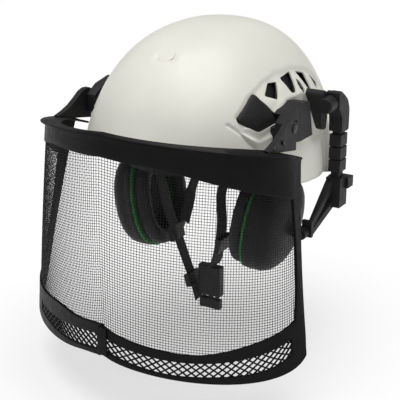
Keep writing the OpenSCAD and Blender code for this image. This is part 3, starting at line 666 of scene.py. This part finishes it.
def build_mesh_screen():
    """Woven square wires, each one passing over and under the ones it crosses."""
    pitch, r = 2.4, 0.23
    span_u = np.linspace(-0.93, 0.93, 1200)
    mid = visor_at(span_u, 0.5 + 0 * span_u)
    length = np.concatenate([[0], np.cumsum(np.linalg.norm(np.diff(mid, axis=0), axis=1))])
    count_u = int(length[-1] / pitch)
    wire_u = np.interp(np.arange(count_u + 1) * pitch, length, span_u)
    tall = visor_top(0) - visor_low(0)
    wire_w = np.arange(0.05, 0.90, pitch / tall)
    verts, faces = [], []

    def run(u, w, phase):
        steps = len(u)
        out = 1.35 + 0.26 * np.where((np.arange(steps) + phase) % 2 == 0, 1, -1)
        p = visor_at(u, w, out)
        d = np.gradient(p, axis=0)
        d /= np.linalg.norm(d, axis=1, keepdims=True)
        q = visor_at(u, w, out + 1)
        n = q - p
        n -= (n * d).sum(1, keepdims=True) * d
        n /= np.linalg.norm(n, axis=1, keepdims=True)
        b = np.cross(d, n)
        start = len(verts)
        for k in range(steps):
            for s, c in ((1, 1), (1, -1), (-1, -1), (-1, 1)):
                verts.append(p[k] + r * 0.75 * (s * n[k] + c * b[k]))
        for k in range(steps - 1):
            for j in range(4):
                faces.append((start + 4 * k + j, start + 4 * k + (j + 1) % 4,
                              start + 4 * k + 4 + (j + 1) % 4, start + 4 * k + 4 + j))
        faces.append((start, start + 1, start + 2, start + 3))
        e = start + 4 * steps
        faces.append((e - 1, e - 2, e - 3, e - 4))

    for i, u in enumerate(wire_u):
        keep = wire_w < mesh_low(u) + 0.012
        w = wire_w[keep]
        run(u + 0 * w, w, i)
    for j, w in enumerate(wire_w):
        ok = w < mesh_low(wire_u) + 0.012
        edges = np.flatnonzero(np.diff(np.concatenate([[0], ok.astype(int), [0]])))
        for a, b in zip(edges[::2], edges[1::2]):
            if b - a > 2:
                run(wire_u[a:b], w + 0 * wire_u[a:b], j + 1 + a)
    obj = make("mesh_wires", verts, faces, "screen_mesh", angle=180)
    return place(obj, "screen_mesh", "visor", "mesh_screen")


build_mesh_screen()


def frame_side(sign):
    """Frame down one side, from the band to the bottom corner, joined to the rails."""
    s = np.linspace(0, 1, 49)
    w = mix(0.10, 1.0, s)
    inner_u = 0.87 + 0.035 * np.sin(math.pi * np.clip((w - 0.2) / 0.6, 0, 1))
    rows = []
    cols = 7
    for k in range(len(w)):
        for c in range(cols):
            u = sign * mix(inner_u[k], 1.0 - 0.01 * ease((w[k] - 0.9) / 0.1), c / (cols - 1))
            rows.append((u, w[k] * (visor_edge(u) if w[k] > 0.9 else 1)))
    uw = np.array(rows).reshape(len(w), cols, 2)
    outer = visor_at(uw[..., 0], uw[..., 1], 3.0 + 0 * uw[..., 0])
    inner = visor_at(uw[..., 0], uw[..., 1], 0 * uw[..., 0])
    verts = np.concatenate([outer.reshape(-1, 3), inner.reshape(-1, 3)])
    half = len(w) * cols
    faces = []
    for i in range(len(w) - 1):
        for j in range(cols - 1):
            a = i * cols + j
            faces.append((a, a + cols, a + cols + 1, a + 1))
            faces.append((half + a, half + a + 1, half + a + cols + 1, half + a + cols))
        for j in (0, cols - 1):
            a = i * cols + j
            faces.append((a, a + cols, half + a + cols, half + a))
    for i in (0, len(w) - 1):
        for j in range(cols - 1):
            a = i * cols + j
            faces.append((a, a + 1, half + a + 1, half + a))
    side = "left" if sign > 0 else "right"
    obj = make("frame_strip_" + side, verts, faces, "band_plastic", angle=35)
    rounded(obj, 0.8, 2, 40)
    return place(obj, "band_plastic", "visor", "side_frame_" + side)


frame_side(1)
frame_side(-1)

us = spaced(-0.88, 0.88)
panel("rail_above_grille", us, mesh_low, window_top, 4, 0.0, 3.0, ("upper_rail",))
panel("rail_below_grille", us, window_low, visor_edge, 4, 0.0, 3.0, ("lower_rail",))


BAR_SECTION = [(0.8, 0.7), (0.5, 1), (-0.5, 1), (-0.8, 0.7), (-0.8, -0.7), (-0.5, -1), (0.5, -1), (0.8, -0.7)]


def build_grille():
    """Diamond lattice between the rails, with a solid link in the middle and solid ends."""
    verts, faces = [], []
    span = np.linspace(-0.88, 0.88, 800)
    line = visor_at(span, 0.93 + 0 * span)
    length = np.concatenate([[0], np.cumsum(np.linalg.norm(np.diff(line, axis=0), axis=1))])
    total = length[-1]
    tall = visor_top(0) - visor_low(0)
    pitch, slope, half_w = 7.6, 5.8 / 7.6, 0.62

    def bar(x0, direction):
        pts = []
        for s in np.linspace(-24, 24, 49):
            x = x0 + s
            if not 0 < x < total:
                continue
            u = float(np.interp(x, length, span))
            mid_w = (window_top(u) + window_low(u)) / 2
            w = mid_w + direction * s * slope / tall
            if window_top(u) - 0.008 < w < window_low(u) + 0.008:
                pts.append((u, w))
        if len(pts) < 3:
            return
        uw = np.array(pts)
        p = visor_at(uw[:, 0], uw[:, 1], 1.5 + 0 * uw[:, 0])
        d = np.gradient(p, axis=0)
        d /= np.linalg.norm(d, axis=1, keepdims=True)
        n = visor_at(uw[:, 0], uw[:, 1], 2.5 + 0 * uw[:, 0]) - p
        b = np.cross(d, n)
        start = len(verts)
        for k in range(len(p)):
            for s, c in BAR_SECTION:
                verts.append(p[k] + s * n[k] + c * half_w * b[k])
        for k in range(len(p) - 1):
            for j in range(8):
                faces.append((start + 8 * k + j, start + 8 * k + (j + 1) % 8,
                              start + 8 * k + 8 + (j + 1) % 8, start + 8 * k + 8 + j))
        faces.append(tuple(range(start, start + 8)))
        faces.append(tuple(range(start + 8 * len(p) - 8, start + 8 * len(p)))[::-1])

    for x0 in np.arange(-24, total + 24, pitch):
        bar(x0, 1)
        bar(x0, -1)
    obj = make("grille_lattice", verts, faces, "band_plastic", angle=50)
    place(obj, "band_plastic", "visor", "grille_strip")

    def above(u):
        return window_top(u) - 0.01

    def below(u):
        return window_low(u) + 0.01

    panel("grille_link", spaced(-0.048, 0.024, 0.006), above, below, 4, 0.4, 2.8)
    panel("grille_end_left", spaced(0.845, 0.90, 0.006), above, below, 4, 0.2, 2.9)
    panel("grille_end_right", spaced(-0.90, -0.60, 0.01), above, below, 4, 0.2, 2.9)


build_grille()
refined("pull_tab", "band_plastic", 0.5)


# ---------- hard parts with rounded edges ----------

for node, slot, width in (
        ("crown_socket_cover", "shell_plastic", 0.5), ("band_rivets", "pin_steel", 0.4),
        ("hinge_bracket_left", "dark_plastic", 1.0),
        ("hinge_bracket_right", "dark_plastic", 1.0), ("muff_slide_bar_left", "dark_plastic", 0.8),
        ("muff_slide_bar_right", "dark_plastic", 0.8), ("muff_lever_left", "dark_plastic", 0.6),
        ("muff_lever_right", "dark_plastic", 0.6), ("muff_yoke_left", "dark_plastic", 0.7),
        ("muff_yoke_right", "dark_plastic", 0.7), ("nape_cradle", "dark_plastic", 0.6),
        ("size_wheel_left", "buckle_plastic", 0.5), ("size_wheel_right", "buckle_plastic", 0.5),
        ("headband", "dark_plastic", 0.5), ("suspension_anchors", "dark_plastic", 0.8),
        ("vent_shutter_left", "shutter_plastic", 0.3), ("vent_shutter_right", "shutter_plastic", 0.3),
        ("strap_dividers", "buckle_plastic", 0.8), ("chin_adjuster", "buckle_plastic", 0.8),
        ("buckle_socket", "buckle_plastic", 1.0), ("buckle_tongue", "buckle_plastic", 0.6)):
    refined(node, slot, width)


def slab(name, outline, low_x, high_x, side, slot, body, nodes=(), soft=1.2, corner=3.0, bores=()):
    """Plate lying along the helmet's side. low_x may be a number or a function of (y, z)."""
    sign = SIGN[side]
    ring = round_corners(outline, corner, 4)
    inner = [low_x(y, z) if callable(low_x) else low_x for y, z in ring]
    verts = [(sign * x, y, z) for x, (y, z) in zip(inner, ring)] + [(sign * high_x, y, z) for y, z in ring]
    obj = make(name + "_" + side, verts, tube_faces(2, len(ring)), slot, angle=40)
    for cutter in bores:
        modify(obj, "BOOLEAN", object=cutter, operation="DIFFERENCE", solver="EXACT")
    apply_modifiers(obj)
    for cutter in bores:
        bpy.data.objects.remove(cutter)
    smooth_by_angle(obj, 40)
    rounded(obj, soft, 3, 50)
    return place(obj, slot, body, *nodes)


def rod_cutter(low, high, centre, r, axis):
    """Plain round bar used only to bore a hole."""
    verts = []
    for along in (low, high):
        for k in range(32):
            u, v = centre[0] + r * math.cos(math.pi * k / 16), centre[1] + r * math.sin(math.pi * k / 16)
            verts.append((along, u, v) if axis == "X" else (u, along, v))
    return make("cutter", verts, tube_faces(2, 32), "dark_plastic")


def box_cutter(low, high):
    verts = [(x, y, z) for x in (low[0], high[0]) for y in (low[1], high[1]) for z in (low[2], high[2])]
    faces = [(0, 1, 3, 2), (4, 6, 7, 5), (0, 4, 5, 1), (2, 3, 7, 6), (0, 2, 6, 4), (1, 5, 7, 3)]
    return make("cutter", verts, faces, "dark_plastic")


def turned(name, profile, centre, axis, slot, body, nodes=()):
    """Round part turned about a line along X or Y, from (distance along, radius) pairs."""
    verts, count = [], 40
    for along, r in profile:
        for k in range(count):
            t = 2 * math.pi * k / count
            if axis == "X":
                verts.append((along, centre[0] + r * math.cos(t), centre[1] + r * math.sin(t)))
            else:
                verts.append((centre[0] + r * math.cos(t), along, centre[1] + r * math.sin(t)))
    return place(make(name, verts, tube_faces(len(profile), count), slot, angle=35), slot, body, *nodes)


# lines that the visor and the muffs swing about: (y, z) of the hinge, and (x, z) on the left side
HINGE, SWING = (-48, 31), (112, 38)
ARM_FRONT = [(-45, 37.5), (-48.5, 41), (-55, 41.5), (-62, 39.5), (-70, 34.5), (-79, 29.5),
             (-89, 26), (-99, 23.5)]


def arm(side):
    """Visor arm: straight rear edge, a front edge sweeping down to the band, and a bead along it."""
    seat = [(-90, 18.8), (-72, 15.9), (-56, 12.8), (-43.5, 10.4)]
    low, high = ARM_X
    body = node_body["visor_arm_" + side]
    sign = SIGN[side]
    slab("arm_plate", [(-43.5, 30)] + ARM_FRONT + seat, low, high, side, "dark_plastic", body,
         ("visor_arm_" + side,), 0.5, 1.5, [rod_cutter(sign * 80, sign * 130, HINGE, 3.7, "X")])
    bead = ARM_FRONT + [(y + 1.3, z - 2.0) for y, z in ARM_FRONT[::-1]]
    slab("arm_bead", bead, high - 0.5, high + 1.3, side, "dark_plastic", body, (), 0.3, 0.5)


def carrier(side):
    """Fixed block on the shell, and the ribbed bow that swings on it and holds the slide bar."""
    sign = SIGN[side]
    swing = (sign * SWING[0], SWING[1])
    block = [(10.5, 33), (10.5, 49), (14, 52), (21, 50), (24.8, 46), (24.8, 28), (22, 13), (13, 15)]
    slab("carrier_block", block, lambda y, z: float(side_x(y, z)) + 0.3, 109.5, side, "dark_plastic",
         "helmet", ("muff_mount_" + side,), 1.6)
    barrel = [(10, 6.4), (11, 7.6), (23.8, 7.6), (24.8, 7.0), (24.8, 3.9), (32.4, 3.9), (33, 3.4)]
    turned("carrier_barrel_" + side, barrel, swing, "Y", "dark_plastic", "helmet")
    sleeve = node_body["muff_sleeve_" + side]
    bow = [(25.6, 33), (25.6, 48.5), (30.5, 48.8), (38, 44), (45.5, 38.4), (50, 29), (50, 8.2), (34, 8.2),
           (33.5, 24)]
    low_x, high_x = sorted((sign * 109.3, sign * 117.7))
    bores = [rod_cutter(20, 33.6, swing, 4.3, "Y"), box_cutter((low_x, 36.3, 0), (high_x, 47.7, 36))]
    slab("carrier_bow", bow, 106.8, 120.2, side, "dark_plastic", sleeve, ("muff_sleeve_" + side,), 1.2, 3.0,
         bores)
    rib = [(sign * 108.6, 0.9), (sign * 109.4, 1.3), (sign * 117.8, 1.3), (sign * 118.6, 0.9)]
    for k, (y, z) in enumerate([(34, 46.6), (38.6, 43.4), (42.8, 40.3), (46.6, 37.3), (49.3, 33.0)]):
        turned("bow_rib_%d_%s" % (k, side), rib, (y, z), "X", "dark_plastic", sleeve)


arm_node = frame["nodes"]["visor_arm_left"]
arm_x = [(arm_node.matrix_world @ v.co).x for v in arm_node.data.vertices]
ARM_X = (min(arm_x) / MM, max(arm_x) / MM)


def pin(side, nodes):
    sign = SIGN[side]
    inner, outer = ARM_X
    profile = [(sign * (inner - 9), 3.4), (sign * (outer + 0.3), 3.4), (sign * (outer + 0.3), 4.2),
               (sign * (outer + 0.9), 4.0), (sign * (outer + 1.2), 3.2)]
    turned("hinge_pin_" + side, profile, HINGE, "X", "pin_steel", "helmet", nodes)


def plug(side):
    """Kite-shaped cover set in its pocket: crowned, with a rounded edge."""
    sign = SIGN[side]
    ring = np.array(PLUG)
    mid = ring.mean(0)
    levels = [(1.0, -3.2), (0.985, -0.4), (0.97, 0.1), (0.93, 0.45), (0.8, 0.8), (0.5, 1.15), (0.2, 1.3)]
    verts = []
    for share, out in levels:
        for y, z in mid + (ring - mid) * share * 0.985:
            verts.append((sign * (float(side_x(y, z)) + out), y, z))
    obj = make("kite_cover_" + side, verts, tube_faces(len(levels), len(ring)), "dark_plastic", angle=45)
    return place(obj, "dark_plastic", "helmet", "side_plug_" + side)


def knob(side):
    sign = SIGN[side]
    lift = float(side_relief(np.array([8.0]), np.array([52.0]))[0]) - 0.4
    mid_y, mid_z, half_y, half_z = 8, 51.8, 1.9, 2.6
    verts = []
    levels = [(1.0, -3.0), (1.0, -0.6), (0.86, -0.2), (0.5, 0.1)]
    for share, out in levels:
        for a in np.linspace(0, 2 * math.pi, 25)[:-1]:
            y, z = mid_y + half_y * share * math.cos(a), mid_z + half_z * share * math.sin(a)
            verts.append((sign * (float(side_x(y, z)) + out + lift), y, z))
    obj = make("shutter_knob_" + side, verts, tube_faces(len(levels), 24), "shutter_plastic", angle=45)
    return place(obj, "shutter_plastic", node_body["vent_knob_" + side], "vent_knob_" + side)


for side in ("left", "right"):
    plug(side)
    knob(side)
    arm(side)
    carrier(side)
    pin(side, ("hinge_pins",) if side == "left" else ())


# ---------- ear cups ----------

CUP = (-8.0, -81.0, 80.0, 98.0)
PIVOT_X, LEAN = 103.0, math.radians(10)


def leaning(x, y, rise, sign):
    """Turns a point of an upright cup about its pivot, so the lower end goes inwards."""
    far = x - PIVOT_X
    return (sign * (PIVOT_X + far * math.cos(LEAN) + rise * math.sin(LEAN)), y,
            CUP[1] - far * math.sin(LEAN) + rise * math.cos(LEAN))


def oval_ring(x, share, sign, count=72, power=2.4):
    out = []
    for k in range(count):
        t = 2 * math.pi * k / count
        c = (abs(math.cos(t)) ** power + abs(math.sin(t)) ** power) ** (-1 / power)
        out.append(leaning(x, CUP[0] + share * CUP[2] / 2 * math.cos(t) * c,
                           share * CUP[3] / 2 * math.sin(t) * c, sign))
    return out


def loft(name, sections, sign, slot, closed=False, count=72):
    verts = [v for x, share in sections for v in oval_ring(x, share, sign, count)]
    return make(name, verts, tube_faces(len(sections), count, closed), slot, angle=40)


def cushion(side):
    sign = SIGN[side]
    ring = [(59.0, 0.90), (56.5, 0.95), (53, 0.975), (49, 0.965), (46, 0.93), (44.3, 0.87), (43.8, 0.79),
            (44.6, 0.71), (47, 0.65), (51, 0.62), (55, 0.625), (59.0, 0.65)]
    obj = loft("ear_cushion_padded_" + side, ring, sign, "cushion_skin", closed=True, count=96)
    swell(obj, 0.004, 1.6)
    seam = loft("ear_cushion_seam_" + side, [(58.6, 0.915), (57.9, 0.94), (57.2, 0.915), (57.9, 0.90)], sign,
                "cushion_skin", closed=True, count=96)
    body = node_body["ear_cushion_" + side]
    place(obj, "cushion_skin", body, "ear_cushion_" + side)
    place(seam, "cushion_skin", body)
    return obj


def swell(obj, voxel, cap):
    """Inflates a padded piece with a cloth simulation, with no point moving further than cap mm."""
    modify(obj, "REMESH", mode="VOXEL", voxel_size=voxel)
    apply_modifiers(obj)
    start = np.array([v.co for v in obj.data.vertices])
    cloth = modify(obj, "CLOTH")
    cloth.settings.use_pressure = True
    cloth.settings.uniform_pressure_force = 4
    cloth.settings.effector_weights.gravity = 0
    cloth.settings.tension_stiffness = 15
    scene = bpy.context.scene
    for step in range(1, 21):
        scene.frame_set(step)
    graph = bpy.context.evaluated_depsgraph_get()
    posed = obj.evaluated_get(graph).to_mesh()
    end = np.array([v.co for v in posed.vertices])
    obj.evaluated_get(graph).to_mesh_clear()
    obj.modifiers.clear()
    scene.frame_set(1)
    move = end - start
    size = np.linalg.norm(move, axis=1, keepdims=True)
    move = move * np.minimum(1, cap * MM / np.maximum(size, 1e-9))
    obj.data.vertices.foreach_set("co", (start + move).ravel())
    obj.data.update()
    modify(obj, "SUBSURF", levels=1, render_levels=1)
    apply_modifiers(obj)
    obj.data.polygons.foreach_set("use_smooth", [True] * len(obj.data.polygons))
    return obj


def pivot_boss(side):
    """Neck on the cup's outer face with the cross barrel that the yoke's pin runs through."""
    sign = SIGN[side]
    verts = []
    around = 28
    for y in (-12.5, -12.0, -4.0, -3.5):
        r = 5.4 if abs(y + 8) < 4.3 else 4.9
        for k in range(around):
            t = 2 * math.pi * k / around
            neck = max(0.0, -math.cos(t)) ** 0.5 * 8.5
            verts.append(leaning(PIVOT_X + r * math.cos(t) - neck, y, r * math.sin(t), sign))
    for y in (-3.5, -12.5):
        for k in range(around):
            t = 2 * math.pi * k / around
            verts.append(leaning(PIVOT_X + 3.35 * math.cos(t), y, 3.35 * math.sin(t), sign))
    return make("cup_pivot_boss_" + side, verts, tube_faces(6, around, True), "cup_plastic", angle=35)


for side in ("left", "right"):
    sign = SIGN[side]
    shell_out = [(62.0, 0.985), (62.4, 1.0), (66, 1.0), (66.6, 0.988), (72, 0.983), (77, 0.962),
                 (81, 0.925), (84.5, 0.865), (87.5, 0.785), (90, 0.67), (91.6, 0.55), (92.4, 0.42),
                 (92.8, 0.22), (92.9, 0.02)]
    shell_in = [(89.6, 0.02), (89.3, 0.20), (88.6, 0.36), (87, 0.50), (84, 0.66), (80, 0.80),
                (72, 0.905), (62.0, 0.93)]
    cup = loft("cup_shell_" + side, shell_out + shell_in, sign, "cup_plastic", closed=True)
    body = node_body["ear_cup_" + side]
    place(cup, "cup_plastic", body, "ear_cup_" + side)
    place(pivot_boss(side), "cup_plastic", body)
    moulding = [(59.0, 0.985), (59.4, 1.0), (61.6, 1.0), (62.0, 0.985), (62.0, 0.76), (59.0, 0.76)]
    place(loft("cup_ring_moulding_" + side, moulding, sign, "ring_green", closed=True), "ring_green", body,
          "cup_ring_" + side)
    foam = [(68, 0.82), (68.6, 0.87), (71, 0.88), (74, 0.80), (75.5, 0.72)]
    place(loft("cup_foam_liner_" + side, foam, sign, "cup_foam"), "cup_foam", body, "cup_foam_" + side)
    cushion(side)


# ---------- straps, webbing and pads ----------

def smooth_path(points, per=10):
    pts = [Vector(p) for p in points]
    pts = [pts[0] * 2 - pts[1]] + pts + [pts[-1] * 2 - pts[-2]]
    out = []
    for i in range(1, len(pts) - 2):
        a, b, c, d = pts[i - 1:i + 3]
        for k in range(per):
            s = k / per
            out.append(0.5 * ((2 * b) + (c - a) * s + (2 * a - 5 * b + 4 * c - d) * s * s
                              + (3 * b - a - 3 * c + d) * s ** 3))
    out.append(pts[-2])
    return out


def strap(name, points, across, width, wall, per=10):
    """Flat webbing with rounded selvedges, its UVs in metres along and across."""
    path = smooth_path(points, per)
    section = [(-0.5, 0.0), (-0.485, 0.42), (-0.44, 0.5), (-0.2, 0.5), (0.2, 0.5), (0.44, 0.5),
               (0.485, 0.42), (0.5, 0.0), (0.485, -0.42), (0.44, -0.5), (0.2, -0.5), (-0.2, -0.5),
               (-0.44, -0.5), (-0.485, -0.42)]
    across = Vector(across)
    verts, uvs, far = [], [], 0.0
    for i, p in enumerate(path):
        along = path[min(i + 1, len(path) - 1)] - path[max(i - 1, 0)]
        face = along.cross(across).normalized()
        edge = face.cross(along).normalized()
        if i:
            far += (p - path[i - 1]).length * MM
        for s, h in section:
            verts.append(p + edge * s * width + face * h * wall)
            uvs.append((far, s * width * MM))
    return make(name, verts, tube_faces(len(path), len(section)), "webbing", angle=60, uvs=uvs)


front_left = [(68, -41, -17), (46, -41, -24), (33.5, -38, -43), (29, -30, -75), (23, -22, -100),
              (15, -14, -122), (9, -10, -133)]
front_right = [(-68, -41, -17), (-46, -41, -24), (-34, -38, -43), (-31, -30, -75), (-27, -22, -100),
               (-19.5, -14, -135), (-11, -11, -162), (-8.4, -10.5, -172)]
rear_left = [(69, 45, -38), (54, 42, -41), (38, 34, -52), (33, 15, -72), (27, -8, -93)]
place(strap("front_webbing_left", front_left, (0, 1, -0.4), 15, 1.5), "webbing", "helmet", "front_strap_left")
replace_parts(strap("front_webbing_right", front_right, (0, 1, -0.4), 15, 1.5),
            "front_strap_right")
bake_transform(bpy.data.objects["front_webbing_right"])
for side in ("left", "right"):
    path = [(SIGN[side] * x, y, z) for x, y, z in rear_left]
    place(strap("rear_webbing_" + side, path, (0.1 * SIGN[side], 1, 0.5), 15, 1.5), "webbing", "helmet",
          "rear_strap_" + side)


def crown_straps():
    pieces = []
    for k, degrees in enumerate((90, 40, -40)):
        turn = math.radians(degrees)
        rise = 54 + 1.8 * k
        pts = []
        for a in range(0, 181, 10):
            r = 101.2 * math.cos(math.radians(a))
            z = 22 + (rise - 0.75) * math.sin(math.radians(a))
            pts.append((r * math.cos(turn), r * math.sin(turn), z))
        across = (-math.sin(turn), math.cos(turn), 0)
        pieces.append(strap("crown_webbing_" + "abc"[k], pts, across, 18, 1.4, per=3))
    for p in pieces[1:]:
        place(p, "webbing", "helmet")
    place(pieces[0], "webbing", "helmet", "crown_webbing")


crown_straps()


def pad_from(node, slot, name, voxel, cap, shrink):
    """A padded piece started a little inside its CAD solid and then inflated."""
    source = frame["nodes"][node]
    obj = bpy.data.objects.new(name, source.data.copy())
    bpy.context.scene.collection.objects.link(obj)
    obj.data.materials.clear()
    obj.data.materials.append(FINISH[slot])
    bm = bmesh.new()
    bm.from_mesh(obj.data)
    bmesh.ops.remove_doubles(bm, verts=bm.verts, dist=0.00001)
    bmesh.ops.recalc_face_normals(bm, faces=bm.faces)
    bm.normal_update()
    for v in bm.verts:
        v.co -= v.normal * shrink * MM
    bm.to_mesh(obj.data)
    bm.free()
    swell(obj, voxel, cap)
    place(obj, slot, node_body[node], node)
    return obj


pad_from("brow_pad", "pad_fabric", "brow_pad_padded", 0.0022, 1.0, 0.6)
pad_from("crown_pad", "pad_fabric", "crown_pad_padded", 0.0022, 1.6, 0.6)
